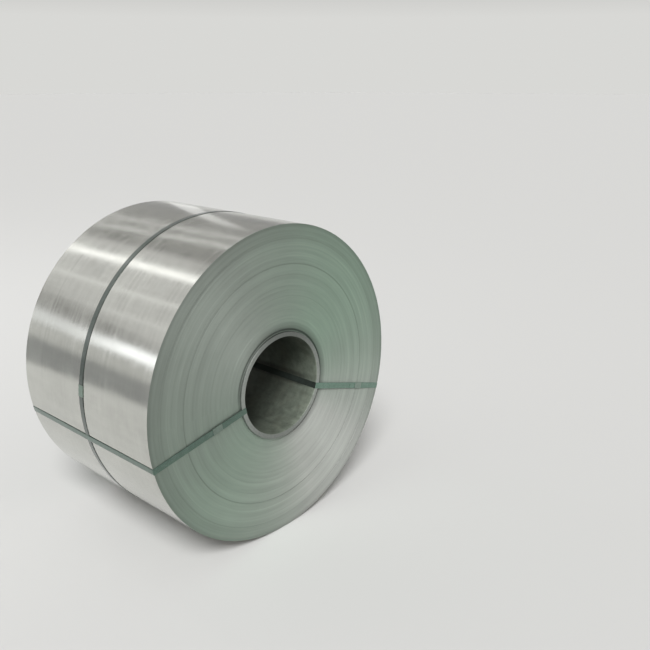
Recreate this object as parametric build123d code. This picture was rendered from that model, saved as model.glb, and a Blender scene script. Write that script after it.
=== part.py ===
"""Strapped coil of cold-rolled steel strip, lying on its side with its eye level.

The strip is wound on a steel core sleeve.  One strap goes round the belly of the coil, and two more go
through the eye, along the bore and back over the outside.  Each strap is closed by a crimped seal.

Millimetres and degrees.  The coil's axis runs along Y, +Z is up, and the front end faces -Y.
The origin is on the floor, below the middle of the coil.  Angles round the axis start at +X and turn
towards +Z.
"""

import os
from math import asin, degrees

from build123d import *

# Wound strip
OUTER_DIAMETER = 1630.0
STRIP_WIDTH = 1030.0
STRIP_THICKNESS = 0.8
TAIL_ANGLE = -52.0  # where the outer end of the strip lies, low on the side away from the seals

# Core sleeve that the strip is wound on
SLEEVE_BORE = 508.0
SLEEVE_WALL = 24.0
SLEEVE_PROUD = 8.0  # how far it stands out of each end of the coil
SLEEVE_CHAMFER = 1.5
SLEEVE_GAP = 0.3  # between the sleeve and the first turn

# Turns that show on the ends: where each band of turns ends, as a share of the wound depth from the sleeve
# to the outside, and how deep it lies below the outermost turns
BAND_END_SHARES = (0.025, 0.135, 0.34, 0.435, 0.537, 0.625, 0.643, 0.858, 0.875)
BAND_DEPTHS = (3.0, 0.6, 1.0, 0.5, 0.9, 0.5, 2.0, 0.6, 1.3)

# Steel strapping
STRAP_WIDTH = 32.0
STRAP_THICKNESS = 0.9
STRAP_CLEARANCE = 0.1  # between a strap and what it lies on
STRAP_LAP = 150.0  # length over which the two ends of a strap lie on each other
LEFT_STRAP_ANGLE = -168.0
RIGHT_STRAP_ANGLE = -17.0

# Crimped seals
SEAL_LENGTH = 57.0
SEAL_SHEET = 1.3
SEAL_CLEARANCE = 0.1  # between the seal and the strap ends inside it
SEAL_CORNER_RADIUS = 1.0
NOTCH_LENGTH = 7.0
NOTCH_DEPTH = 3.0
NOTCH_SPACING = 26.0
BELLY_SEAL_ANGLE = 174.5
LEFT_SEAL_SHARE = 0.30  # of the wound depth, from the sleeve to the outside
RIGHT_SEAL_SHARE = 0.65

OVERRUN = 5.0  # how far a cutting solid passes the face that it cuts

OUTER_RADIUS = OUTER_DIAMETER / 2
SLEEVE_INNER_RADIUS = SLEEVE_BORE / 2
SLEEVE_OUTER_RADIUS = SLEEVE_INNER_RADIUS + SLEEVE_WALL
SLEEVE_LENGTH = STRIP_WIDTH + 2 * SLEEVE_PROUD
COIL_BORE_RADIUS = SLEEVE_OUTER_RADIUS + SLEEVE_GAP
WOUND_DEPTH = OUTER_RADIUS - COIL_BORE_RADIUS
LEFT_SEAL_RADIUS = COIL_BORE_RADIUS + LEFT_SEAL_SHARE * WOUND_DEPTH
RIGHT_SEAL_RADIUS = COIL_BORE_RADIUS + RIGHT_SEAL_SHARE * WOUND_DEPTH
BELLY_INNER_RADIUS = OUTER_RADIUS + STRAP_CLEARANCE
BELLY_OUTER_RADIUS = BELLY_INNER_RADIUS + STRAP_THICKNESS
AXIS_HEIGHT = BELLY_OUTER_RADIUS  # the belly strap is what touches the floor


def about_axis(shape, angle):
    """Turns a shape made at angle 0 round the coil's axis."""
    return Rot(0, -angle, 0) * shape


def ring(inner_radius, outer_radius, length):
    """A plain ring round the Y axis, centred on the origin."""
    profile = Pos(inner_radius, -length / 2) * Rectangle(
        outer_radius - inner_radius, length, align=(Align.MIN, Align.MIN)
    )
    return revolve(profile, Axis.Y)


def wound_strip():
    """The wound strip: its outside is a spiral that steps in at the strip's outer end."""
    half_step = STRIP_THICKNESS / 2
    over_top = CenterArc((0, 0), OUTER_RADIUS, 0, 180)
    underneath = CenterArc((-half_step, 0), OUTER_RADIUS - half_step, 180, 180)
    tail_edge = Line((OUTER_RADIUS - STRIP_THICKNESS, 0), (OUTER_RADIUS, 0))
    outline = make_face(Curve() + [over_top, underneath, tail_edge])
    # the XZ plane's normal is -Y, so the outline is extruded both ways
    body = extrude(Plane.XZ * outline, STRIP_WIDTH / 2, both=True)
    body = about_axis(body, TAIL_ANGLE)
    body -= ring(0, COIL_BORE_RADIUS, STRIP_WIDTH + 2 * OVERRUN)
    relief = end_relief()
    return body - relief - mirror(relief, Plane.XZ)


def end_relief():
    """What the lower bands of turns leave open at the front end, as one turned solid."""
    front = -STRIP_WIDTH / 2
    inner_radius = COIL_BORE_RADIUS - OVERRUN
    points = [(inner_radius, front - OVERRUN), (inner_radius, front + BAND_DEPTHS[0])]
    for number, share in enumerate(BAND_END_SHARES):
        radius = COIL_BORE_RADIUS + share * WOUND_DEPTH
        next_depth = (*BAND_DEPTHS, 0)[number + 1]
        points += [(radius, front + BAND_DEPTHS[number]), (radius, front + next_depth)]
    points.append((points[-1][0], front - OVERRUN))
    return revolve(make_face(Polyline(*points, close=True)), Axis.Y)


def core_sleeve():
    sleeve = ring(SLEEVE_INNER_RADIUS, SLEEVE_OUTER_RADIUS, SLEEVE_LENGTH)
    end_edges = sleeve.edges().filter_by(GeomType.CIRCLE)
    return chamfer(end_edges, SLEEVE_CHAMFER)


def belly_strap():
    """The strap round the outside, with its upper end lapped over the lower one at the seal."""
    band = Circle(BELLY_OUTER_RADIUS) - Circle(BELLY_INNER_RADIUS)
    lap_outer_radius = BELLY_OUTER_RADIUS + STRAP_THICKNESS
    lap_inner_radius = BELLY_OUTER_RADIUS - STRAP_THICKNESS / 2
    # a window as tall as the lap picks it out of a full ring
    window = Rectangle(OUTER_DIAMETER, STRAP_LAP, align=(Align.MIN, Align.CENTER))
    lap = (Circle(lap_outer_radius) - Circle(lap_inner_radius)) & window
    strap = extrude(Plane.XZ * (band + Rot(0, 0, BELLY_SEAL_ANGLE) * lap), STRAP_WIDTH / 2, both=True)
    return strap


def eye_strap_path():
    """Corners of the inside of an eye strap's loop, as (distance from the axis, place along Y).

    The strap is pulled straight from the coil's edge to the sleeve's end, and over the belly strap.
    """
    gap = STRAP_CLEARANCE
    outside = OUTER_RADIUS + gap
    over_belly = BELLY_OUTER_RADIUS + gap
    coil_end = STRIP_WIDTH / 2 + gap
    sleeve_end = SLEEVE_LENGTH / 2 + gap
    half = [
        (over_belly, STRAP_WIDTH / 2),
        (outside, coil_end),
        (SLEEVE_OUTER_RADIUS, sleeve_end),
        (SLEEVE_INNER_RADIUS - gap, sleeve_end),
    ]
    return half + [(radius, -place) for radius, place in reversed(half)]


def front_run_plane(radius):
    """The plane of an eye strap's outer face on the front end, at that distance from the axis.

    X runs along the strap, away from the axis, and Z points out of the coil.
    """
    at_sleeve, at_edge = eye_strap_path()[5:7]
    along = (Vector(*at_edge) - Vector(*at_sleeve)).normalized()
    normal = Vector(along.Y, -along.X)
    share = (radius - at_sleeve[0]) / (at_edge[0] - at_sleeve[0])
    below = Vector(*at_sleeve) + share * (Vector(*at_edge) - Vector(*at_sleeve))
    return Plane(origin=below + STRAP_THICKNESS * normal, x_dir=along, z_dir=normal)


def lap_profile(seal_radius):
    """The upper strap end on an eye strap's front run, in the plane of the loop."""
    run = front_run_plane(seal_radius)
    reach = STRAP_LAP / 2
    corners = [(-reach, 0), (reach, 0), (reach, STRAP_THICKNESS), (-reach, STRAP_THICKNESS)]
    points = [run.from_local_coords((along, 0, out)) for along, out in corners]
    return make_face(Polyline(*points, close=True))


def eye_strap(angle, seal_radius):
    """A strap through the eye: a loop in a plane through the axis, bent to the bore and the outside."""
    inside = make_face(Polyline(*eye_strap_path(), close=True))
    loop = offset(inside, STRAP_THICKNESS, kind=Kind.ARC) - inside
    loop += lap_profile(seal_radius)
    half_turn = 2 * degrees(asin(STRAP_WIDTH / 2 / SLEEVE_INNER_RADIUS))
    swept = about_axis(revolve(loop, Axis.Y, 2 * half_turn), half_turn)
    strap = swept & Box(2 * OUTER_DIAMETER, 2 * STRIP_WIDTH, STRAP_WIDTH)
    return about_axis(strap, angle)


def seal():
    """A crimped seal round two layers of strap, lying along X, with its open side at Z = 0."""
    hollow_width = STRAP_WIDTH + 2 * SEAL_CLEARANCE
    hollow_height = 2 * STRAP_THICKNESS + SEAL_CLEARANCE
    outer_width = hollow_width + 2 * SEAL_SHEET
    outer_height = hollow_height + SEAL_SHEET
    on_base = (Align.CENTER, Align.CENTER, Align.MIN)
    shell = Box(SEAL_LENGTH, outer_width, outer_height, align=on_base)
    top_edges = shell.edges().filter_by(Axis.X).group_by(Axis.Z)[-1]
    shell = fillet(top_edges, SEAL_CORNER_RADIUS)
    shell -= Box(SEAL_LENGTH + 2 * OVERRUN, hollow_width, hollow_height, align=on_base)
    notch = Cylinder(NOTCH_LENGTH / 2, outer_height + OVERRUN, align=on_base)
    reach = NOTCH_LENGTH / 2 - NOTCH_DEPTH
    for side in (-1, 1):
        for end in (-1, 1):
            shell -= Pos(end * NOTCH_SPACING / 2, side * (outer_width / 2 + reach)) * notch
    return shell


def belly_seal():
    """The belly strap's seal, resting on the strap and set along its length."""
    layer_top = BELLY_OUTER_RADIUS + STRAP_THICKNESS
    base = layer_top - 2 * STRAP_THICKNESS
    seat = Plane(origin=(base, 0, 0), x_dir=(0, 0, 1), z_dir=(1, 0, 0))
    return about_axis(seat * seal(), BELLY_SEAL_ANGLE)


def eye_seal(angle, seal_radius):
    """The seal of an eye strap, on the strap's run across the front end."""
    face = front_run_plane(seal_radius)
    return about_axis(face.offset(-STRAP_THICKNESS) * seal(), angle)


def pieces():
    return {
        "coil": wound_strip(),
        "core_sleeve": core_sleeve(),
        "belly_strap": belly_strap(),
        "belly_strap_seal": belly_seal(),
        "eye_strap_left": eye_strap(LEFT_STRAP_ANGLE, LEFT_SEAL_RADIUS),
        "eye_strap_left_seal": eye_seal(LEFT_STRAP_ANGLE, LEFT_SEAL_RADIUS),
        "eye_strap_right": eye_strap(RIGHT_STRAP_ANGLE, RIGHT_SEAL_RADIUS),
        "eye_strap_right_seal": eye_seal(RIGHT_STRAP_ANGLE, RIGHT_SEAL_RADIUS),
    }


os.makedirs("parts", exist_ok=True)
for name, piece in pieces().items():
    export_step(Pos(0, 0, AXIS_HEIGHT) * piece, f"parts/{name}.step")
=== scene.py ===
"""Looks of the strapped steel coil: wound turns, core sleeve, strapping and crimped seals.

The part's sizes are in millimetres and degrees, and the floor, the lamps and the camera are in metres.
Angles round the coil's axis start at +X and turn towards +Z.
"""

import math
from collections import namedtuple

import bmesh
import bpy
import numpy as np
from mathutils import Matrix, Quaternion, Vector


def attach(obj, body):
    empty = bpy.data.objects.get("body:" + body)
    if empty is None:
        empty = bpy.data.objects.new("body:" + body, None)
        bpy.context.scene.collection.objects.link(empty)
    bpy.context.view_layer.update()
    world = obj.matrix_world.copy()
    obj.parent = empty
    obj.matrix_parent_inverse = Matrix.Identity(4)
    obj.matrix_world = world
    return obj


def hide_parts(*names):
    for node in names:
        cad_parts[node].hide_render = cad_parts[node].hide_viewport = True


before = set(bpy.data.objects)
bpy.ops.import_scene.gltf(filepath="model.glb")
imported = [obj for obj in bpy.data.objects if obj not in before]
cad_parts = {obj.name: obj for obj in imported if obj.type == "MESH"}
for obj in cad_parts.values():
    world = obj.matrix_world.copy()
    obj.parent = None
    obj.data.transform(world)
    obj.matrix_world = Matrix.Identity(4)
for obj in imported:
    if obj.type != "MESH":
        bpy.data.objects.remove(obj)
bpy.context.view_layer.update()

MM = 0.001

# Wound strip
OUTER_R = 815.0
STRIP_W = 1030.0
STRIP_T = 0.8
TAIL_ANGLE = -52.0  # where the outer end of the strip lies

# Core sleeve
BORE_R = 254.0
SLEEVE_WALL = 24.0
SLEEVE_PROUD = 8.0  # how far it stands out of each end of the coil
SLEEVE_EASE = 1.5  # width of its eased edges
EASE_OUT, EASE_IN = 0.4, 0.45  # the middle of an eased edge, from the wall and from the end
SLEEVE_GAP = 0.3  # between the sleeve and the first turn
SLEEVE_R = BORE_R + SLEEVE_WALL
SLEEVE_LEN = STRIP_W + 2 * SLEEVE_PROUD
COIL_BORE_R = SLEEVE_R + SLEEVE_GAP
WOUND = OUTER_R - COIL_BORE_R

# Strapping
STRAP_W = 32.0
STRAP_T = 0.9
STRAP_EDGE = 0.28  # width of its rounded edges
CORNER_IN, CORNER_UP = 0.08, 0.1  # a point of a rounded edge, from the strap's side and from its face
GAP = 0.1  # between a strap and what it lies on
LAP = 150.0  # length over which a strap's ends lie on each other
LEFT_ANGLE = -168.0
RIGHT_ANGLE = -17.0
AXIS_Z = OUTER_R + GAP + STRAP_T  # the belly strap is what touches the floor

# Crimped seals
SEAL_L = 57.0
SEAL_SHEET = 1.3
SEAL_GAP = 0.1  # between the seal and the strap ends inside it
SEAL_CORNER_R = 1.0
SEAL_TOP_SHARE = 0.82  # of its inner half width, as far as the points on its top go
BELLY_SEAL_ANGLE = 174.5
LEFT_SEAL_SHARE, RIGHT_SEAL_SHARE = 0.30, 0.65  # of the wound depth, from the sleeve to the outside
LEFT_SEAL_R = COIL_BORE_R + LEFT_SEAL_SHARE * WOUND
RIGHT_SEAL_R = COIL_BORE_R + RIGHT_SEAL_SHARE * WOUND
CRIMPS = (-13.0, 13.0)  # along the seal
CRIMP_HALF_L = 2.6
CRIMP_IN, CRIMP_DOWN = 1.05, 0.9
CRIMP_START, CRIMP_REACH = 9.0, 7.0  # from the seal's middle line, and on to its side

# Bands of turns on the ends: where each one ends, as a share of the wound depth, and how deep it lies
BAND_ENDS = (0.025, 0.135, 0.34, 0.435, 0.537, 0.625, 0.643, 0.858, 0.875)
BAND_DEPTHS = (3.0, 0.6, 1.0, 0.5, 0.9, 0.5, 2.0, 0.6, 1.3)

# Turns drawn on the ends.  Each has three lines: its groove, its crest and its far shoulder.
SEED = 7
INNER_TURNS = 94
TURN_WIDTHS = (3.2, 8.2)
LINE_PLACES = (0.0, 0.22, 0.80)  # shares of the turn's width
LINE_DEPTHS = (0.20, 0.0, 0.04)
LINES = len(LINE_PLACES)
FULL_GROOVE_W = 4.0  # a narrower turn has shallower grooves
WANDER_STEP, WANDER_LIMIT, TURN_JITTER = 0.06, 0.3, 0.04  # how turns stray from their band's depth
LEAST_DEPTH = 0.05
HOLLOW_DEPTHS = (0.14, 0.11, 0.07)  # of the outer wrap

# How finely the shapes are divided
COLS = 144  # round the coil and the sleeve
WALL_ROWS = 26
BORE_POINTS, SLEEVE_POINTS = 24, 6  # along the inside and the outside of the sleeve
STRAP_POINTS = 7  # across a strap
BELLY_COLS = 288
BELLY_LAP_POINTS, EYE_LAP_POINTS = 13, 9
BEND_R, BEND_STEP = 0.3, 15.0  # an eye strap's bends, in millimetres and degrees
RUN_STEP = 45.0
SEAL_ROWS, SEAL_TOP_POINTS, SEAL_CORNER_POINTS = 47, 11, 5

# Finish of the ends, with a painted highlight and painted shade.  Places on them are shares of the outer
# radius.
EDGE_COLOR = (0.452, 0.564, 0.478)
# the neutral tone of the painted highlight on the ends
EDGE_HIGHLIGHT = (0.440, 0.4545, 0.431)
EDGE_LEAN = 0.32  # slope of the sheared edges towards the axis
HIGHLIGHT_ANGLE = -48.0  # where the painted highlight on the ends is brightest
GLINT_ANGLE = -42.0  # where the ends are painted darker, to tone down the lamps' glint on them
LOWER_ANGLE = -120.0  # where the painted highlight makes them less green
OUTER_TURNS, LAST_TURNS = (0.885, 0.915), (0.972, 0.992)  # where the rim darkens, and darkens again
SHADE_PLACE, SHADE_HALF_W, SHADE_FULL_HALF_W = 0.3525, 8.0, 3.0  # shade in the groove above the sleeve
SLEEVE_SHADE_START, SLEEVE_SHADE_FULL, SLEEVE_SHADE_END = 0.345, 0.358, 0.405  # painted shade on the turns beside the sleeve
SLEEVE_SHADE_ANGLE = 20.0  # where that painted shade is darkest
# Each ring has a place, a half width and a change of tone.
RING_TONES = (
    (0.759, 5.0, -0.20), (0.565, 3.5, -0.06), (0.627, 3.0, -0.07), (0.695, 3.5, -0.07), (0.912, 4.0, -0.10),
    (0.43, 6.0, 0.05), (0.81, 5.0, 0.05), (0.874, 4.0, 0.06),
)

# Finish of the sleeve, with a painted highlight on its ends and painted shade in its bore.  Depths are from
# its end.
SLEEVE_END_COLOR = (0.37, 0.395, 0.37)
SLEEVE_END_HIGHLIGHT_ANGLE = -15.0  # where the painted highlight on its ends is brightest, as it is opposite
BORE_COLOR = (0.240, 0.277, 0.225)
STAIN_COLOR = (0.105, 0.095, 0.065)
BORE_SKIN = (1.6, 0.4)  # where the bore's finish starts and where it is full, outwards from the bore
# painted light at the bore's mouths, fading into painted shade by the first depth, which deepens to the
# second
MOUTH_DEPTH, DEEPEST_SHADE_DEPTH = 220.0, 500.0
DARK_BAND_DEPTHS = (30.0, 120.0)  # where the darker band beside the right strap starts and where it is full
# The darker band's middle is in degrees from the right strap, and its edge and full part are from its middle.
DARK_BAND_ANGLE, DARK_BAND_EDGE, DARK_BAND_FULL = 1.5, 9.5, 5.5

# Other finishes
ROLLED_COLOR = (0.61, 0.614, 0.577)
EYE_LACQUER, EYE_RUBBED = (0.100, 0.182, 0.138), (0.20, 0.30, 0.25)
BELLY_LACQUER, BELLY_RUBBED = (0.118, 0.148, 0.130), (0.23, 0.26, 0.24)
# the strapping in the bore: dark with dirt and painted shade
DIRT_AND_SHADE_COLOR = (0.030, 0.038, 0.033)
SEAL_COLOR = (0.285, 0.360, 0.312)
DULL_SEAL_Y = (-500.0, -300.0)  # where seals on the left are dulled in full, and where no longer

# Camera: its place is from the coil's middle, in outer radii
CAMERA_PLACE = (-3.1455, -3.8187, 1.8422)
CAMERA_TURN, CAMERA_TILT = math.radians(-48.07), math.radians(17.99)
FOCAL_PX, PICTURE_PX, SENSOR_W = 780.0, 650.0, 36.0
BACK = Vector((-math.sin(CAMERA_TURN), math.cos(CAMERA_TURN), 0.0))  # away from the camera, along the floor
SIDEWAYS = Vector((-BACK.y, BACK.x, 0.0))

# Floor and surroundings
FLOOR_R, FLOOR_SIDES = 90.0, 96
FLOOR_COLOR = (0.62, 0.62, 0.612)
HORIZON_COLOR, SKY_COLOR = (0.687, 0.687, 0.667), (0.40, 0.397, 0.386)
FADE_START, FADE_END = math.radians(3.5), math.radians(9.0)  # above the horizon

# Cards that only the metal mirrors: their ends as (back, sideways), their bottoms and tops, and their colours
LEFT_CARD_ENDS, LEFT_CARD_HEIGHTS = ((-12.0, 5.0), (3.0, 5.0)), (0.0, 1.0)
LEFT_CARD_COLOR = (0.55, 0.56, 0.57)
REAR_CARD_ENDS, REAR_CARD_HEIGHTS = ((14.0, -5.0), (14.0, 5.0)), (3.2, 5.2)
REAR_CARD_COLOR = (0.30, 0.30, 0.30)

# Lamps
KEY_DIRECTION = (0.497, 0.47, -0.729)
KEY_POWER, KEY_WIDTH = 3.06, math.radians(22.0)
WHITE = (1.0, 1.0, 1.0)
DOWN = Vector((0.0, 0.0, -1.0))
OVERHEAD_PLACE, OVERHEAD_SIZE, OVERHEAD_POWER = (-5.2, 6.0, 4.6), (10.4, 6.0), 72.0
UPRIGHT_PLACE, UPRIGHT_SIZE, UPRIGHT_POWER = (3.66, 4.75, 3.1), (0.35, 2.6), 1.4
UPRIGHT_DIRECTION = Vector((-UPRIGHT_PLACE[0], -UPRIGHT_PLACE[1], 0.0))  # level, to the coil's middle
STRIP_LAMP_Y, STRIP_LAMP_Z, STRIP_LAMP_LEN = 4.9, 4.5, 5.0
# Each strip has a place along X, a width, a power and a skew in degrees.
STRIP_LAMPS = (
    (-0.96, 0.34, 7.0, 0.0), (0.95, 0.08, 3.4, 9.0), (1.95, 0.08, 3.6, 9.0), (-2.6, 0.16, 1.5, 0.0),
    (-4.6, 0.16, 1.6, 0.0),
)
# Each low strip has a place and a power.
LOW_STRIP_LAMPS = (((-7.3, 6.15, 2.72), 18.0), ((-4.5, 8.25, 2.5), 6.0))
LOW_STRIP_DIRECTION = Vector((5.4, -7.2, -1.5))
LOW_STRIP_SIZE, LOW_STRIP_COLOR = (3.5, 0.8), (0.94, 0.96, 1.0)


# Helpers
def make_object(name, points, faces, materials, finish=None, sharp=35.0):
    """A mesh in the part's frame, from points round the coil's axis in millimetres."""
    mesh = bpy.data.meshes.new(name)
    places = np.asarray(points, float) * MM
    places[:, 2] += AXIS_Z * MM
    mesh.from_pydata(places.tolist(), [], [list(face) for face in faces])
    for material in materials:
        mesh.materials.append(material)
    if finish is not None:
        mesh.polygons.foreach_set("material_index", np.asarray(finish, dtype=np.int32))
    mesh.validate()
    face_outwards(mesh)
    mesh.shade_smooth()
    mesh.set_sharp_from_angle(angle=math.radians(sharp))
    mesh.update()
    obj = bpy.data.objects.new(name, mesh)
    bpy.context.scene.collection.objects.link(obj)
    return obj


def face_outwards(mesh):
    bm = bmesh.new()
    bm.from_mesh(mesh)
    bmesh.ops.recalc_face_normals(bm, faces=bm.faces)
    bm.to_mesh(mesh)
    bm.free()


def show(obj, node):
    """Has an object stand in for a node of the part."""
    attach(obj, "root")
    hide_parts(node)


def around(radius, angle, y):
    """Points at a distance from the axis, an angle in radians and a place along the axis."""
    return np.stack(np.broadcast_arrays(radius * np.cos(angle), y, radius * np.sin(angle)), -1)


def turn(points, angle):
    """Points made at angle 0, with the radius along X, turned round the coil's axis."""
    a = math.radians(angle)
    x, y, z = np.asarray(points, float).T
    return np.stack([x * math.cos(a) - z * math.sin(a), y, x * math.sin(a) + z * math.cos(a)], 1)


def tube_faces(rings, size, closed):
    """Faces of a tube through rings of points, joined end to end or capped."""
    faces = []
    for i in range(rings if closed else rings - 1):
        j = (i + 1) % rings
        for k in range(size):
            m = (k + 1) % size
            faces.append((i * size + k, i * size + m, j * size + m, j * size + k))
    if not closed:
        faces.append(tuple(range(size))[::-1])
        faces.append(tuple((rings - 1) * size + k for k in range(size)))
    return faces


def unit(vector):
    return vector / np.linalg.norm(vector)


# Node tools
Place = namedtuple("Place", "radius angle along point")


class Nodes:
    """Short words for building a material's nodes."""

    def __init__(self, name):
        self.mat = bpy.data.materials.new(name)
        self.mat.use_nodes = True
        self.tree = self.mat.node_tree
        self.tree.nodes.clear()
        self.out = self.new("ShaderNodeOutputMaterial")
        self.bsdf = self.new("ShaderNodeBsdfPrincipled")
        self.link(self.bsdf.outputs["BSDF"], self.out.inputs["Surface"])

    def new(self, kind, **props):
        node = self.tree.nodes.new(kind)
        for key, value in props.items():
            setattr(node, key, value)
        return node

    def link(self, a, b):
        self.tree.links.new(a, b)

    def put(self, socket, value):
        if isinstance(value, bpy.types.NodeSocket):
            self.link(value, socket)
        else:
            socket.default_value = value

    def math(self, operation, a, b=0.0, clamp=False):
        node = self.new("ShaderNodeMath", operation=operation, use_clamp=clamp)
        self.put(node.inputs[0], a)
        self.put(node.inputs[1], b)
        return node.outputs[0]

    def add(self, total, *values):
        for value in values:
            total = self.math("ADD", total, value)
        return total

    def minus(self, a, b):
        return self.math("SUBTRACT", a, b)

    def times(self, product, *values):
        for value in values:
            product = self.math("MULTIPLY", product, value)
        return product

    def off(self, a, b):
        """How far one value is from another."""
        return self.math("ABSOLUTE", self.minus(a, b))

    def facing(self, angle, degrees, waves=1.0):
        """A cosine round the axis: 1 at a place in degrees, and again for each further wave."""
        return self.math("COSINE", self.times(self.minus(angle, math.radians(degrees)), waves))

    def span(self, value, low, high, to_low, to_high):
        """A value's range spread over another range, and held at its ends."""
        node = self.new("ShaderNodeMapRange")
        ends = (("From Min", low), ("From Max", high), ("To Min", to_low), ("To Max", to_high))
        for key, end in (("Value", value), *ends):
            self.put(node.inputs[key], end)
        return node.outputs[0]

    def vary(self, noise, to_low, to_high):
        """The middle of a noise's range, where nearly all of it lies, spread over another range."""
        return self.span(noise, 0.3, 0.7, to_low, to_high)

    def swing(self, cosine, to_low, to_high):
        """A cosine's range spread over another range."""
        return self.span(cosine, -1.0, 1.0, to_low, to_high)

    def place(self):
        """Where a point lies: distance from the axis, angle round it, place along it, and all three axes."""
        where = self.new("ShaderNodeTexCoord").outputs["Object"]
        split = self.new("ShaderNodeSeparateXYZ")
        self.link(where, split.inputs[0])
        x, y, height = split.outputs
        z = self.minus(height, AXIS_Z * MM)
        radius = self.math("SQRT", self.add(self.times(x, x), self.times(z, z)))
        return Place(radius, self.math("ARCTAN2", z, x), y, where)

    def vec(self, x, y, z):
        node = self.new("ShaderNodeCombineXYZ")
        for socket, value in zip(node.inputs, (x, y, z)):
            self.put(socket, value)
        return node.outputs[0]

    def noise(self, where, scale, detail=3.0, rough=0.55, dims="3D"):
        node = self.new("ShaderNodeTexNoise", noise_dimensions=dims)
        self.put(node.inputs["W" if dims == "1D" else "Vector"], where)
        self.put(node.inputs["Scale"], scale)
        self.put(node.inputs["Detail"], detail)
        self.put(node.inputs["Roughness"], rough)
        return node.outputs["Fac"]

    def mix(self, share, a, b):
        node = self.new("ShaderNodeMix", data_type="RGBA")
        self.put(node.inputs["Factor"], share)
        self.put(node.inputs[6], a)
        self.put(node.inputs[7], b)
        return node.outputs[2]

    def scale(self, color, factor):
        node = self.new("ShaderNodeVectorMath", operation="SCALE")
        self.put(node.inputs[0], color)
        self.put(node.inputs["Scale"], factor)
        return node.outputs[0]

    def bump(self, height, strength, distance, normal=None):
        node = self.new("ShaderNodeBump")
        self.put(node.inputs["Strength"], strength)
        self.put(node.inputs["Distance"], distance)
        self.put(node.inputs["Height"], height)
        if normal is not None:
            self.link(normal, node.inputs["Normal"])
        return node.outputs[0]

    def set(self, **values):
        for key, value in values.items():
            self.put(self.bsdf.inputs[key.replace("_", " ")], value)


def rgb(r, g, b):
    return (r, g, b, 1.0)


# Materials
def side_material():
    """Bright rolled face of the strip: soft streaks along the rolling direction and cloudy patches."""
    n = Nodes("strip_rolled_face")
    at = n.place()
    length = n.times(at.angle, OUTER_R * MM)
    streak = n.noise(n.vec(n.times(length, 0.35), n.times(at.along, 34.0), at.radius), 3.0, 4.0, 0.6)
    fine = n.noise(n.vec(n.times(length, 0.8), n.times(at.along, 260.0), at.radius), 4.0, 2.0)
    cross = n.noise(n.vec(n.times(length, 9.0), n.times(at.along, 0.5), at.radius), 2.5, 3.0, 0.6)
    cloud = n.noise(at.point, 3.2, 5.0, 0.62)
    patch = n.noise(at.point, 17.0, 4.0, 0.6)
    tone = n.add(n.vary(streak, -0.04, 0.04), n.vary(cloud, -0.06, 0.06))
    tone = n.add(tone, n.span(patch, 0.35, 0.65, -0.025, 0.025))
    tone = n.add(tone, n.vary(cross, -0.03, 0.03), n.vary(fine, 0.98, 1.02))
    n.set(Base_Color=n.scale(ROLLED_COLOR, tone), Metallic=1.0)
    rough = n.add(n.vary(cloud, 0.14, 0.20), n.vary(streak, -0.02, 0.03))
    n.set(Roughness=n.add(rough, n.span(patch, 0.35, 0.65, -0.015, 0.02)))
    streaks = n.bump(streak, 0.10, 0.4 * MM)
    patches = n.bump(patch, 0.035, 0.8 * MM, streaks)
    n.set(Normal=n.bump(fine, 0.05, 0.15 * MM, patches))
    return n.mat


def ring_marks(n, spiral, smear):
    """Rings of paler or darker turns, clearer in some places than in others."""
    strength = n.vary(smear, 0.55, 1.15)
    marks = []
    for share, half_width, change in RING_TONES:
        off = n.off(spiral, share * OUTER_R * MM)
        mark = n.span(off, half_width * MM, 0.25 * half_width * MM, 0.0, change)
        marks.append(n.times(mark, strength))
    return marks


def edge_rim_and_shade(n, at):
    """Factors for the darker turns of the rim, and for painted shade in the groove above the sleeve and on
    the turns beside it.
    """
    def ring(inner, outer, to_inner, to_outer):
        return n.span(at.radius, inner * OUTER_R * MM, outer * OUTER_R * MM, to_inner, to_outer)

    outer_turns = ring(*OUTER_TURNS, 1.0, 0.90)
    last_turns = ring(*LAST_TURNS, 1.0, 0.87)
    upper = n.span(n.math("SINE", at.angle), -0.25, 0.35, 0.0, 0.55)
    off = n.off(at.radius, SHADE_PLACE * OUTER_R * MM)
    groove = n.span(off, SHADE_HALF_W * MM, SHADE_FULL_HALF_W * MM, 0.0, 1.0)
    # painted shade on the turns beside the sleeve, darkest to the upper right
    right = n.span(n.facing(at.angle, SLEEVE_SHADE_ANGLE), -0.75, 0.2, 0.0, 1.0)
    sleeve_shade = n.times(ring(SLEEVE_SHADE_START, SLEEVE_SHADE_FULL, 0.0, 1.0), ring(SLEEVE_SHADE_FULL, SLEEVE_SHADE_END, 0.40, 0.0), right)
    return outer_turns, last_turns, n.minus(1.0, n.times(upper, groove)), n.minus(1.0, sleeve_shade)


def edge_painted_light(n, angle):
    """Factors for a painted highlight and painted shade round an end, with the lamps' glint painted darker.
    """
    # painted highlight towards one side, painted light above and below the bore and painted shade beside it,
    # and the lamps' glint painted darker
    paler = n.swing(n.facing(angle, HIGHLIGHT_ANGLE), 0.82, 1.15)
    upright = n.swing(n.facing(angle, 0.0, 2.0), 1.11, 0.90)
    glint = n.span(n.facing(angle, GLINT_ANGLE), 0.85, 1.0, 1.0, 0.86)
    return paler, upright, glint


def edge_highlight_tint(n, angle):
    """How far the colour has gone from the greenish tone to the neutral tone of a painted highlight, round an
    end.
    """
    fan = n.swing(n.facing(angle, HIGHLIGHT_ANGLE, 2.0), 0.0, 1.0)
    bright = n.times(fan, n.swing(n.facing(angle, HIGHLIGHT_ANGLE), 0.7, 1.0))
    lower = n.span(n.facing(angle, LOWER_ANGLE), 0.0, 1.0, 0.0, 0.27)
    return n.math("ADD", bright, lower, clamp=True)


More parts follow.
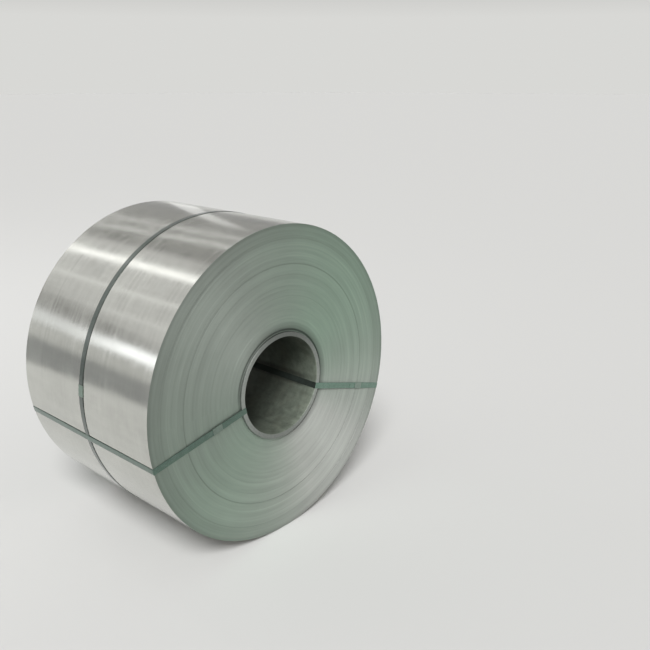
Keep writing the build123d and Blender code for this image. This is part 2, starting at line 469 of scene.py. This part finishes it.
def edge_material():
    """Ends of the coil: the sheared edges of the turns, in faint rings."""
    n = Nodes("strip_edges")
    at = n.place()
    spiral = n.add(at.radius, n.times(at.angle, STRIP_T * MM / (2 * math.pi)))
    rings = n.noise(spiral, 26.0, 3.0, 0.6, dims="1D")
    lines = n.noise(spiral, 260.0, 3.0, 0.7, dims="1D")
    hair = n.noise(spiral, 900.0, 2.0, 0.6, dims="1D")
    cloud = n.noise(at.point, 4.0, 4.0, 0.6)
    smear = n.noise(n.vec(n.times(at.angle, 0.9), n.times(spiral, 30.0), 0.0), 2.2, 4.0, 0.6)
    tone = n.add(n.vary(rings, -0.035, 0.035), n.vary(lines, -0.05, 0.05))
    tone = n.add(tone, n.vary(cloud, -0.05, 0.05), n.vary(smear, 0.95, 1.05), *ring_marks(n, spiral, smear))
    # painted highlight and painted shade round the end and beside the sleeve
    tone = n.times(tone, *edge_painted_light(n, at.angle), *edge_rim_and_shade(n, at))
    # the painted highlight's neutral tone over the greenish one
    color = n.mix(edge_highlight_tint(n, at.angle), rgb(*EDGE_COLOR), rgb(*EDGE_HIGHLIGHT))
    n.set(Base_Color=n.scale(color, tone), Metallic=1.0)
    n.set(Roughness=n.add(n.vary(lines, 0.75, 0.85), n.vary(cloud, -0.04, 0.04)))
    lean = n.bump(at.radius, 1.0, EDGE_LEAN)
    turns = n.bump(lines, 0.2, 0.5 * MM, lean)
    n.set(Normal=n.bump(hair, 0.15, 0.2 * MM, turns))
    tangent = n.new("ShaderNodeTangent", direction_type="RADIAL", axis="Y")
    n.set(Anisotropic=0.55, Anisotropic_Rotation=0.25, Tangent=tangent.outputs[0])
    return n.mat


def bore_tone_and_shade(n, at):
    """Tone of the bore: painted light at its mouths, and painted shade inwards, to the left and at the top,
    with a darker band beside the right strap.
    """
    depth = n.minus(SLEEVE_LEN / 2 * MM, n.math("ABSOLUTE", at.along))
    # painted light at the mouth, fading into painted shade further in, and painted shade on the left
    mouth = n.span(depth, 0.0, MOUTH_DEPTH * MM, 1.18, 0.5)
    middle = n.span(depth, MOUTH_DEPTH * MM, DEEPEST_SHADE_DEPTH * MM, 1.0, 0.8)
    left = n.span(n.math("COSINE", at.angle), -0.2, 0.6, 0.8, 1.0)
    off = n.off(at.angle, math.radians(RIGHT_ANGLE + DARK_BAND_ANGLE))
    beside = n.span(off, math.radians(DARK_BAND_EDGE), math.radians(DARK_BAND_FULL), 0.0, 0.6)
    start, full = DARK_BAND_DEPTHS
    dark_band = n.times(beside, n.span(depth, start * MM, full * MM, 0.0, 1.0))
    smudge = n.span(n.noise(at.point, 24.0, 4.0, 0.6), 0.32, 0.68, 0.80, 1.20)
    # painted shade at the top
    top = n.span(n.math("SINE", at.angle), 0.15, 0.7, 1.0, 0.45)
    return n.times(mouth, middle, left, n.minus(1.0, dark_band), smudge, top)


def sleeve_material():
    """Dull rolled tube: turned ends with a painted highlight, and a stained bore with painted shade."""
    n = Nodes("sleeve_steel")
    at = n.place()
    drag = n.noise(n.vec(n.times(at.angle, 7.0), n.times(at.along, 1.2), at.radius), 3.0, 5.0, 0.65)
    cloud = n.noise(at.point, 9.0, 5.0, 0.65)
    speck = n.noise(at.point, 85.0, 3.0, 0.6)
    start, full = BORE_SKIN
    inside = n.span(at.radius, (BORE_R + start) * MM, (BORE_R + full) * MM, 0.0, 1.0)
    stain = n.times(n.span(cloud, 0.46, 0.72, 0.0, 0.45), inside, n.span(speck, 0.35, 0.6, 0.35, 1.0))
    # painted highlight on the ends, brightest at two opposite places, and painted shade towards the top
    across = n.swing(n.facing(at.angle, SLEEVE_END_HIGHLIGHT_ANGLE, 2.0), 0.60, 1.0)
    turned = n.minus(across, n.times(n.math("SINE", at.angle), 0.1))
    steel = n.mix(inside, n.scale(SLEEVE_END_COLOR, turned), n.scale(BORE_COLOR, bore_tone_and_shade(n, at)))
    tone = n.add(n.vary(drag, 0.93, 1.07), n.vary(speck, -0.06, 0.06))
    n.set(Base_Color=n.mix(stain, n.scale(steel, tone), rgb(*STAIN_COLOR)))
    n.set(Metallic=n.minus(n.span(inside, 0.0, 1.0, 1.0, 0.6), n.times(stain, 0.4)))
    n.set(Roughness=n.add(n.vary(drag, 0.42, 0.52), n.times(stain, 0.3)))
    specks = n.bump(speck, 0.12, 0.5 * MM)
    n.set(Normal=n.bump(drag, 0.12, 0.6 * MM, specks))
    return n.mat


def strap_material(name, lacquer, rubbed):
    """Lacquered strapping, darker on the coil's left than on its right, and rubbed paler in places."""
    n = Nodes(name)
    at = n.place()
    rub = n.noise(at.point, 22.0, 5.0, 0.65)
    fleck = n.noise(at.point, 160.0, 3.0, 0.6)
    wear = n.times(n.span(rub, 0.50, 0.72, 0.0, 0.6), n.span(fleck, 0.35, 0.6, 0.3, 1.0))
    color = n.mix(wear, n.scale(lacquer, n.vary(fleck, 0.84, 1.16)), rgb(*rubbed))
    side_tone = n.swing(n.math("COSINE", at.angle), 0.75, 1.3)
    n.set(Base_Color=n.scale(color, side_tone), Metallic=0.9, Coat_Weight=1.0, Coat_Roughness=0.16)
    n.set(Roughness=n.add(n.vary(rub, 0.34, 0.46), n.times(wear, 0.1)))
    n.set(Normal=n.bump(fleck, 0.12, 0.2 * MM))
    return n.mat


def dirt_and_shade_strap_material():
    """Strapping inside the bore: dull, and black with dirt and painted shade."""
    n = Nodes("strap_in_bore")
    at = n.place()
    smudge = n.noise(at.point, 30.0, 4.0, 0.6)
    fleck = n.noise(at.point, 160.0, 3.0, 0.6)
    tone = n.add(n.vary(smudge, 0.85, 1.15), n.vary(fleck, -0.1, 0.1))
    # dark with dirt and painted shade
    n.set(Base_Color=n.scale(DIRT_AND_SHADE_COLOR, tone), Metallic=0.3)
    n.set(Specular_IOR_Level=0.1, Roughness=n.vary(smudge, 0.68, 0.82))
    n.set(Normal=n.bump(fleck, 0.12, 0.2 * MM))
    return n.mat


def seal_material():
    """Grey pressed sheet, dulled on the left of the front end."""
    n = Nodes("seal_sheet")
    at = n.place()
    cloud = n.noise(at.point, 60.0, 4.0, 0.6)
    fleck = n.noise(at.point, 400.0, 2.0, 0.6)
    left = n.span(n.math("COSINE", at.angle), -1.0, 0.0, 0.28, 0.0)
    full, end = DULL_SEAL_Y
    front = n.span(at.along, full * MM, end * MM, 1.0, 0.0)
    tone = n.add(n.vary(cloud, 0.85, 1.12), n.vary(fleck, -0.06, 0.06))
    tone = n.times(tone, n.minus(1.0, n.times(left, front)))
    n.set(Base_Color=n.scale(SEAL_COLOR, tone), Metallic=1.0)
    n.set(Roughness=n.vary(cloud, 0.36, 0.48))
    n.set(Normal=n.bump(fleck, 0.15, 0.2 * MM))
    return n.mat


SIDE = side_material()
EDGES = edge_material()
SLEEVE = sleeve_material()
EYE_STRAP = strap_material("eye_strap_lacquer", EYE_LACQUER, EYE_RUBBED)
BORE_STRAP = dirt_and_shade_strap_material()
BELLY_STRAP = strap_material("belly_strap_lacquer", BELLY_LACQUER, BELLY_RUBBED)
SEAL = seal_material()


# Wound strip
COIL_FINISH = [EDGES, SIDE]
EDGES_INDEX, SIDE_INDEX = 0, 1


class Shape:
    """A mesh as it grows: points, faces, and each face's place in the list of materials."""

    def __init__(self):
        self.points, self.faces, self.finish = [], [], []

    def add(self, points):
        """Adds points, and returns their numbers."""
        start = len(self.points)
        self.points.extend(points)
        return np.arange(start, len(self.points))

    def face(self, corners, index):
        self.faces.append(corners)
        self.finish.append(index)


def turn_radii(rng):
    """Where the shown turns start, from the sleeve outwards.  The first and last are one strip thick."""
    inner, outer = COIL_BORE_R + STRIP_T, OUTER_R - STRIP_T
    widths = rng.uniform(*TURN_WIDTHS, INNER_TURNS)
    widths *= (outer - inner) / widths.sum()
    return np.concatenate([[COIL_BORE_R], inner + np.concatenate([[0], np.cumsum(widths)]), [OUTER_R]])


def turn_depths(radii, rng):
    """How far each shown turn lies below the outermost ones."""
    share = (radii - COIL_BORE_R) / WOUND
    band = np.array((*BAND_DEPTHS, 0.0))[np.searchsorted(BAND_ENDS, share)]
    wander = np.cumsum(rng.normal(0, WANDER_STEP, len(radii)))
    wander -= np.linspace(wander[0], wander[-1], len(radii))
    jitter = rng.uniform(-TURN_JITTER, TURN_JITTER, len(radii))
    return np.clip(band + np.clip(wander, -WANDER_LIMIT, WANDER_LIMIT) + jitter, LEAST_DEPTH, None)


def line_radii(radii):
    """Distance from the axis of the lines drawn on an end: three to a turn, and the outside."""
    lines = radii[:-1, None] + np.outer(np.diff(radii), LINE_PLACES)
    return np.append(lines, radii[-1])


def line_depths(radii, depths):
    """Depth of those lines, with a groove between one turn and the next."""
    grooves = np.minimum(1.0, np.diff(radii) / FULL_GROOVE_W)
    lines = depths[:-1, None] + np.outer(grooves, LINE_DEPTHS)
    return np.append(lines, depths[-1])


def wound(values, column):
    """Values of the lines at a column: on its way round, each line comes in by one turn."""
    share = 1 - column / COLS
    return (1 - share) * values[:-LINES] + share * values[LINES:]


def column_angle(column):
    return math.radians(TAIL_ANGLE) + 2 * math.pi * column / COLS


def hollows(angle, y):
    """Small hollows of the outer wrap: never proud of the true round."""
    broad = np.sin(7 * angle + 1.2 * np.sin(y / 170.0) + 0.6)
    slanted = np.sin(17 * angle + y / 150.0 + 1.5 * np.sin(3 * angle + y / 210.0))
    small = np.sin(23 * angle - y / 85.0 + 1.3 * np.sin(5 * angle - y / 120.0))
    return -sum(depth * (0.5 + 0.5 * wave) for depth, wave in zip(HOLLOW_DEPTHS, (broad, slanted, small)))


def coil_end(shape, side, radii, depths):
    """An end of the coil as a grid of lines and columns.  side is -1 at the front and 1 at the back."""
    grid = np.zeros((len(radii) - LINES, COLS + 1), int)
    for j in range(COLS):
        y = side * (STRIP_W / 2 - wound(depths, j))
        grid[:, j] = shape.add(around(wound(radii, j), column_angle(j), y))
    # the last column lies at the angle of the first one, and only the strip's inner end has points of its own
    inner_y = side * (STRIP_W / 2 - depths[:LINES])
    grid[:LINES, COLS] = shape.add(around(radii[:LINES], column_angle(0), inner_y))
    grid[LINES:, COLS] = grid[:-LINES, 0]
    for k in range(len(grid) - 1):
        for j in range(COLS):
            corners = (grid[k, j], grid[k, j + 1], grid[k + 1, j + 1], grid[k + 1, j])
            shape.face(corners if side > 0 else corners[::-1], EDGES_INDEX)
    return grid


def step_points(end, outside):
    """Points of an end between the two edges of the step at the end of the strip."""
    return list(end[-LINES:-1, 0]) if outside else list(end[1:LINES, COLS])


def coil_wall(shape, ends, radii, outside):
    """Joins the two ends along the outside or the bore, with the step at the end of the strip."""
    line = -1 if outside else 0
    front, back = ends
    grid = np.zeros((WALL_ROWS + 1, COLS + 1), int)
    grid[0], grid[-1] = front[line], back[line]
    for j in range(COLS + 1):
        front_y, back_y = shape.points[grid[0, j]][1], shape.points[grid[-1, j]][1]
        y = np.linspace(front_y, back_y, WALL_ROWS + 1)[1:-1]
        radius = wound(radii, j)[line] + (hollows(column_angle(j), y) if outside else 0.0)
        grid[1:-1, j] = shape.add(around(radius, column_angle(j), y))
    for i in range(WALL_ROWS):
        for j in range(COLS):
            corners = (grid[i, j], grid[i + 1, j], grid[i + 1, j + 1], grid[i, j + 1])
            shape.face(corners[::-1] if outside else corners, SIDE_INDEX)
    low, high = grid[:, COLS], grid[:, 0]
    for i in range(WALL_ROWS):
        corners = [low[i], high[i], high[i + 1], low[i + 1]]
        if i == 0:
            corners[1:1] = step_points(front, outside)
        if i == WALL_ROWS - 1:
            corners[-1:-1] = step_points(back, outside)[::-1]
        shape.face(corners[::-1] if outside else corners, SIDE_INDEX)


def wound_strip():
    """The wound strip: a spiral of turns on both ends, and walls along the outside and the bore."""
    rng = np.random.default_rng(SEED)
    turns = turn_radii(rng)
    radii = line_radii(turns)
    shape = Shape()
    ends = [coil_end(shape, side, radii, line_depths(turns, turn_depths(turns, rng))) for side in (-1, 1)]
    for outside in (True, False):
        coil_wall(shape, ends, radii, outside)
    obj = make_object("coil_turns", shape.points, shape.faces, COIL_FINISH, shape.finish, sharp=50.0)
    show(obj, "coil")


# Core sleeve
def core_sleeve():
    """A turned tube with eased ends."""
    half = SLEEVE_LEN / 2
    flat_end = half - SLEEVE_EASE
    bore_edge = [(BORE_R + EASE_OUT, half - EASE_IN), (BORE_R + SLEEVE_EASE, half)]
    outer_edge = [(SLEEVE_R - SLEEVE_EASE, half), (SLEEVE_R - EASE_OUT, half - EASE_IN)]
    back_end = bore_edge + outer_edge
    front_end = [(radius, -y) for radius, y in reversed(back_end)]
    bore = [(BORE_R, y) for y in np.linspace(-flat_end, flat_end, BORE_POINTS)]
    outside = [(SLEEVE_R, y) for y in np.linspace(flat_end, -flat_end, SLEEVE_POINTS)]
    profile = np.array(bore + back_end + outside + front_end)
    points = [p for j in range(COLS) for p in around(profile[:, 0], 2 * math.pi * j / COLS, profile[:, 1])]
    faces = tube_faces(COLS, len(profile), True)
    obj = make_object("core_sleeve_tube", points, faces, [SLEEVE], sharp=60.0)
    show(obj, "core_sleeve")


# Strapping
def section():
    """Half-rounded edges of the strapping, as (across, up from its inner face)."""
    half, t = STRAP_W / 2, STRAP_T
    flat = np.linspace(-half + STRAP_EDGE, half - STRAP_EDGE, STRAP_POINTS)
    corner = half - CORNER_IN
    edge = [(corner, CORNER_UP), (half, 0.35 * t), (half, 0.65 * t), (corner, t - CORNER_UP)]
    far_edge = [(-across, up) for across, up in reversed(edge)]
    return [(across, 0.0) for across in flat] + edge + [(across, t) for across in flat[::-1]] + far_edge


def sweep(path, closed, place):
    """Points and faces of the strap's section along a path.

    place makes a point from a pair of the path and a place in the section, across and up.
    """
    shape = section()
    points = [place(*pair, across, up) for pair in path for across, up in shape]
    return points, tube_faces(len(path), len(shape), closed)


def join(a, b):
    """Points and faces of two sweeps as one."""
    start = len(a[0])
    return a[0] + b[0], a[1] + [tuple(i + start for i in face) for face in b[1]]


def in_loop(point, out, across, up):
    """A point of an eye strap, in the plane of its loop at angle 0, bent to the round it lies on."""
    u, y = point + out * up
    return math.sqrt(u * u - across * across), y, across


def loop_corners():
    """Corners of the inside of an eye strap's loop, as (distance from the axis, place along it)."""
    outside, over_belly = OUTER_R + GAP, OUTER_R + 2 * GAP + STRAP_T
    coil_y, sleeve_y = STRIP_W / 2 + GAP, SLEEVE_LEN / 2 + GAP
    half = [(over_belly, STRAP_W / 2), (outside, coil_y), (SLEEVE_R, sleeve_y), (BORE_R - GAP, sleeve_y)]
    return [np.array(p) for p in half] + [np.array((u, -y)) for u, y in reversed(half)]


def outward(start, stop):
    """The direction out of the loop on a run from one corner to the next."""
    along = unit(stop - start)
    return np.array((along[1], -along[0]))


def loop_path():
    """The loop of an eye strap as (point, outward) pairs, with small bends and points along its runs."""
    corners = loop_corners()
    path = []
    for i, here in enumerate(corners):
        after = corners[(i + 1) % len(corners)]
        out_before, out_after = outward(corners[i - 1], here), outward(here, after)
        angle = math.acos(min(1.0, out_before @ out_after))
        centre = here - unit(out_before + out_after) * BEND_R / math.cos(angle / 2)
        for share in np.linspace(0, 1, max(1, int(math.degrees(angle) / BEND_STEP)) + 1):
            out = unit(out_before * math.sin((1 - share) * angle) + out_after * math.sin(share * angle))
            path.append((centre + out * BEND_R, out))
        pieces = int(np.linalg.norm(after - here) // RUN_STEP)
        path += [(here + (after - here) * s / pieces, out_after) for s in range(1, pieces)]
    return path


def eye_strap(node, angle, seal_r):
    """A strap through the eye, lapped at its seal on the front end, and black with dirt and painted shade in
    the bore.
    """
    at_sleeve, at_edge = loop_corners()[5:7]
    along, out = unit(at_edge - at_sleeve), outward(at_sleeve, at_edge)
    seat = at_sleeve + along * ((seal_r - at_sleeve[0]) / along[0])
    lap_places = np.linspace(-LAP / 2, LAP / 2, EYE_LAP_POINTS)
    lap = [(seat + along * s + out * STRAP_T, out) for s in lap_places]
    points, faces = join(sweep(loop_path(), True, in_loop), sweep(lap, False, in_loop))
    reach = np.hypot(*np.array(points)[:, (0, 2)].T)
    in_bore = [max(reach[list(face)]) < BORE_R for face in faces]
    finish = [EYE_STRAP, BORE_STRAP]
    obj = make_object(node + "_band", turn(points, angle), faces, finish, in_bore, sharp=40.0)
    show(obj, node)
    seal(node + "_seal", lambda x, across, up: in_loop(seat + along * x, out, across, up), angle)


def belly_strap():
    """The strap round the outside, lapped at its seal."""
    inner = OUTER_R + GAP
    centre, reach = math.radians(BELLY_SEAL_ANGLE), LAP / 2 / OUTER_R

    def place(angle, radius, across, up):
        return around(radius + up, angle, across)

    ring = [(2 * math.pi * i / BELLY_COLS, inner) for i in range(BELLY_COLS)]
    lap_angles = np.linspace(centre - reach, centre + reach, BELLY_LAP_POINTS)
    lap = [(angle, inner + STRAP_T) for angle in lap_angles]
    points, faces = join(sweep(ring, True, place), sweep(lap, False, place))
    obj = make_object("belly_strap_band", points, faces, [BELLY_STRAP], sharp=40.0)
    show(obj, "belly_strap")
    seal("belly_strap_seal", lambda x, across, up: place(x / OUTER_R, inner, across, up), BELLY_SEAL_ANGLE)


def seal_section():
    """Section of a seal, as (across, up): its outside from side to side, and then the four inner corners."""
    inner_w, inner_h = STRAP_W / 2 + SEAL_GAP, 2 * STRAP_T + SEAL_GAP
    outer_w, outer_h = inner_w + SEAL_SHEET, inner_h + SEAL_SHEET
    r = SEAL_CORNER_R
    angles = np.linspace(0, math.pi / 2, SEAL_CORNER_POINTS)
    side = [(outer_w, 0.0), (outer_w, inner_h / 2)]
    side += [(outer_w - r + r * math.cos(a), outer_h - r + r * math.sin(a)) for a in angles]
    top_w = SEAL_TOP_SHARE * inner_w
    top = [(across, outer_h) for across in np.linspace(top_w, -top_w, SEAL_TOP_POINTS)]
    far_side = [(-across, up) for across, up in reversed(side)]
    return side + top + far_side, [(-inner_w, 0.0), (-inner_w, inner_h), (inner_w, inner_h), (inner_w, 0.0)]


def seal(node, place, angle):
    """A folded seal round both strap ends, crimped in from its sides in two places."""
    outside, inside = seal_section()
    height = max(up for across, up in outside)
    lengths = np.linspace(-SEAL_L / 2, SEAL_L / 2, SEAL_ROWS)
    points = []
    for x in lengths:
        crimp = sum(math.exp(-(((x - middle) / CRIMP_HALF_L) ** 4)) for middle in CRIMPS)
        for across, up in outside:
            depth = crimp * min(1.0, max(0.0, (abs(across) - CRIMP_START) / CRIMP_REACH)) ** 2
            crimped = across - math.copysign(CRIMP_IN * depth, across)
            points.append(place(x, crimped, up - CRIMP_DOWN * depth * up / height))
        points.extend(place(x, across, up) for across, up in inside)
    faces = tube_faces(len(lengths), len(outside) + len(inside), False)
    obj = make_object(node + "_fold", turn(points, angle), faces, [SEAL])
    show(obj, node)


wound_strip()
core_sleeve()
belly_strap()
eye_strap("eye_strap_left", LEFT_ANGLE, LEFT_SEAL_R)
eye_strap("eye_strap_right", RIGHT_ANGLE, RIGHT_SEAL_R)


# Floor, light and camera
def stage_mesh(name, points, faces, color):
    """A matt mesh that belongs to the stage and not to the part."""
    n = Nodes(name)
    n.set(Base_Color=rgb(*color), Roughness=0.7, Specular_IOR_Level=0.0)
    mesh = bpy.data.meshes.new(name)
    mesh.from_pydata(points, [], faces)
    mesh.materials.append(n.mat)
    mesh.shade_smooth()
    obj = bpy.data.objects.new(name, mesh)
    bpy.context.scene.collection.objects.link(obj)
    return obj


def floor():
    """A wide round floor, pale and matt."""
    angles = [2 * math.pi * i / FLOOR_SIDES for i in range(FLOOR_SIDES)]
    points = [(FLOOR_R * math.cos(a), FLOOR_R * math.sin(a), 0.0) for a in angles]
    stage_mesh("studio_floor", points, [tuple(range(FLOOR_SIDES))], FLOOR_COLOR)


def card(name, ends, heights, color):
    """An upright card that only the metal mirrors."""
    bottom, top = heights
    points = []
    for back, sideways in ends:
        p = BACK * back + SIDEWAYS * sideways
        points += [(p.x, p.y, bottom), (p.x, p.y, top)]
    obj = stage_mesh(name, points, [(0, 1, 3, 2)], color)
    obj.visible_camera = False
    obj.visible_diffuse = False
    obj.visible_shadow = False


def cards():
    """Grey cards out of view: one darkens the horizon in the metal on the left, one the sky behind."""
    card("left_card", LEFT_CARD_ENDS, LEFT_CARD_HEIGHTS, LEFT_CARD_COLOR)
    card("rear_card", REAR_CARD_ENDS, REAR_CARD_HEIGHTS, REAR_CARD_COLOR)


def area(name, place, direction, size, power, color=WHITE, skew=0.0):
    """A rectangular lamp that the camera doesn't see.  The skew turns it about its direction, in degrees."""
    light = bpy.data.lights.new(name, "AREA")
    light.shape = "RECTANGLE"
    light.size, light.size_y = size
    light.energy = power
    light.color = color
    obj = bpy.data.objects.new(name, light)
    obj.location = place
    facing = direction.to_track_quat("-Z", "Y")
    obj.rotation_euler = (facing @ Quaternion((0.0, 0.0, 1.0), math.radians(skew))).to_euler()
    obj.visible_camera = False
    bpy.context.scene.collection.objects.link(obj)


def surroundings():
    """A plain sky that fades into the floor's colour at the horizon."""
    world = bpy.data.worlds.new("studio")
    bpy.context.scene.world = world
    world.use_nodes = True
    nodes, link = world.node_tree.nodes, world.node_tree.links.new
    where = nodes.new("ShaderNodeTexCoord")
    split = nodes.new("ShaderNodeSeparateXYZ")
    fade = nodes.new("ShaderNodeMapRange")
    tint = nodes.new("ShaderNodeMix")
    tint.data_type = "RGBA"
    fade.inputs["From Min"].default_value = math.sin(FADE_START)
    fade.inputs["From Max"].default_value = math.sin(FADE_END)
    tint.inputs[6].default_value = rgb(*HORIZON_COLOR)
    tint.inputs[7].default_value = rgb(*SKY_COLOR)
    link(where.outputs["Generated"], split.inputs[0])
    link(split.outputs[2], fade.inputs["Value"])
    link(fade.outputs[0], tint.inputs["Factor"])
    link(tint.outputs[2], nodes["Background"].inputs["Color"])


def lights():
    """A soft key lamp, and weak lamps that draw the streaks in the bright metal."""
    sun = bpy.data.lights.new("key", "SUN")
    sun.energy = KEY_POWER
    sun.angle = KEY_WIDTH
    key = bpy.data.objects.new("key", sun)
    key.rotation_euler = Vector(KEY_DIRECTION).to_track_quat("-Z", "Y").to_euler()
    bpy.context.scene.collection.objects.link(key)
    area("overhead", OVERHEAD_PLACE, DOWN, OVERHEAD_SIZE, OVERHEAD_POWER)
    area("upright", UPRIGHT_PLACE, UPRIGHT_DIRECTION, UPRIGHT_SIZE, UPRIGHT_POWER)
    for x, width, power, skew in STRIP_LAMPS:
        area("strip", (x, STRIP_LAMP_Y, STRIP_LAMP_Z), DOWN, (width, STRIP_LAMP_LEN), power, skew=skew)
    for place, power in LOW_STRIP_LAMPS:
        area("low_strip", place, LOW_STRIP_DIRECTION, LOW_STRIP_SIZE, power, color=LOW_STRIP_COLOR)


def camera():
    """The photograph's viewing angle."""
    cam = bpy.data.cameras.new("camera")
    cam.sensor_width = SENSOR_W
    cam.lens = FOCAL_PX / PICTURE_PX * SENSOR_W
    obj = bpy.data.objects.new("camera", cam)
    obj.location = Vector(CAMERA_PLACE) * OUTER_R * MM + Vector((0.0, 0.0, AXIS_Z * MM))
    facing = BACK * math.cos(CAMERA_TILT) - Vector((0.0, 0.0, math.sin(CAMERA_TILT)))
    obj.rotation_mode = "QUATERNION"
    obj.rotation_quaternion = facing.to_track_quat("-Z", "Y")
    bpy.context.scene.collection.objects.link(obj)
    bpy.context.scene.camera = obj


floor()
cards()
surroundings()
lights()
camera()
bpy.context.scene.view_settings.view_transform = "Standard"
